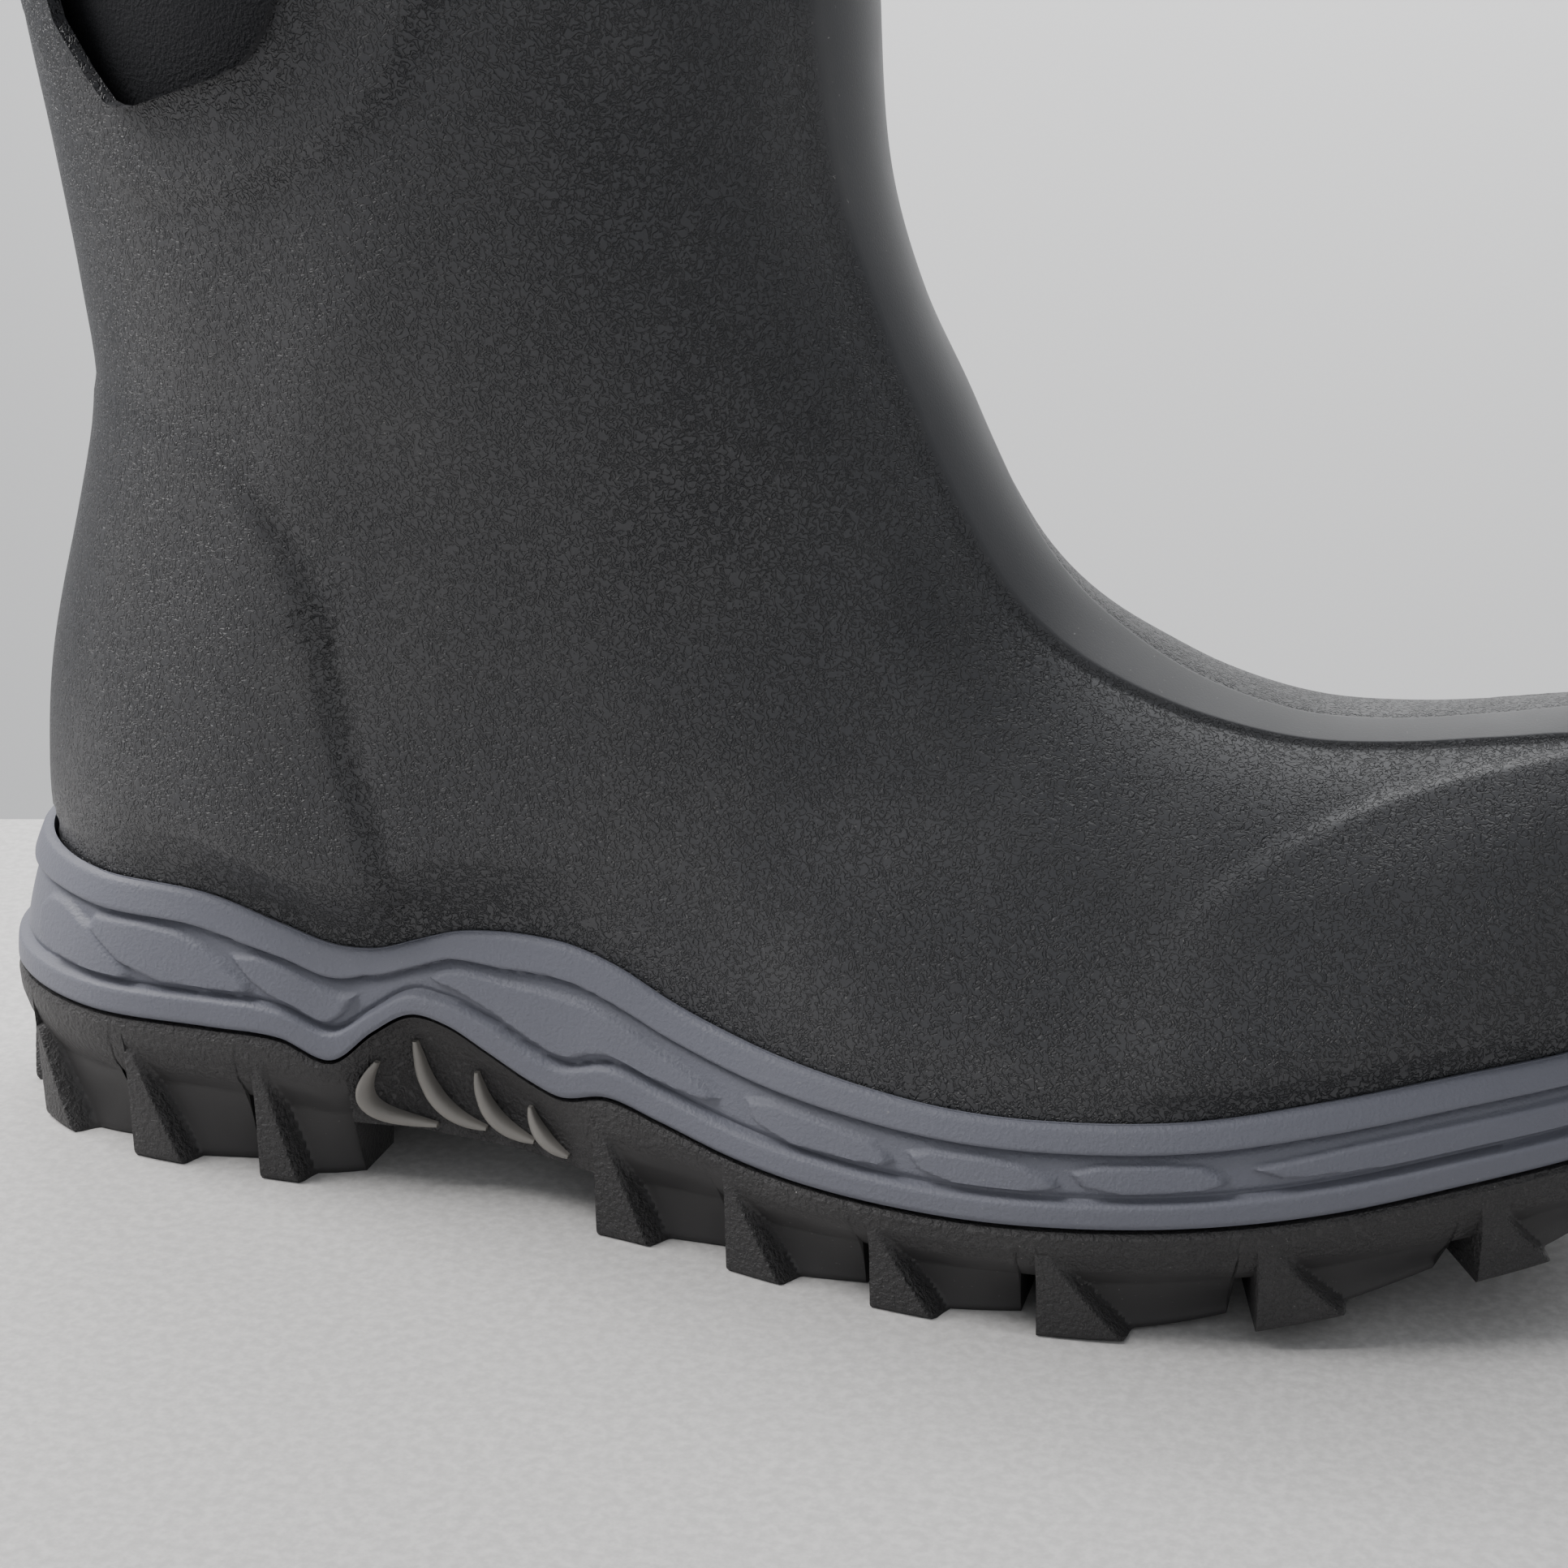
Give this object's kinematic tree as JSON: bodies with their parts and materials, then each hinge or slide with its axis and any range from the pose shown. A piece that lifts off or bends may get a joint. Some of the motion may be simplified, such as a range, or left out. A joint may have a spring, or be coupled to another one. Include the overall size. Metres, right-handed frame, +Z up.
{
  "type": "rubber boot",
  "caption": "Mid-height moulded rubber boot with a soft shaft lining that shows in the side windows and collar, a wavy grey midsole band and a lugged black tread.",
  "frame": {"origin": "middle of the boot's bounds, on the floor it stands on", "axes": "+X from heel to toe, +Y to the wearer's left, which is the inner side of this right boot, +Z up"},
  "size_m": [0.306, 0.118, 0.2859],
  "materials": {
    "black_rubber": "satin moulded rubber with a fine worm-like grain",
    "tread_rubber": "matt black-grey rubber with a coarse grain",
    "grey_midsole": "matt blue-grey moulded foam rubber",
    "pale_rib": "smooth light grey rubber",
    "dark_neoprene": "fine dark knit face",
    "binding_fabric": "folded fabric binding",
    "insole_foam": "dark grey fabric-topped foam"
  },
  "bodies": {
    "root": {"upper_shell": "black_rubber", "neoprene_shaft": "dark_neoprene", "collar_binding": "binding_fabric", "midsole_band": "grey_midsole", "outsole": "tread_rubber", "insole": "insole_foam", "arch_rib_lateral_1": "pale_rib", "arch_rib_lateral_2": "pale_rib", "arch_rib_lateral_3": "pale_rib", "arch_rib_lateral_4": "pale_rib", "arch_rib_medial_1": "pale_rib", "arch_rib_medial_2": "pale_rib", "arch_rib_medial_3": "pale_rib", "arch_rib_medial_4": "pale_rib"}
  },
  "joints": []
}
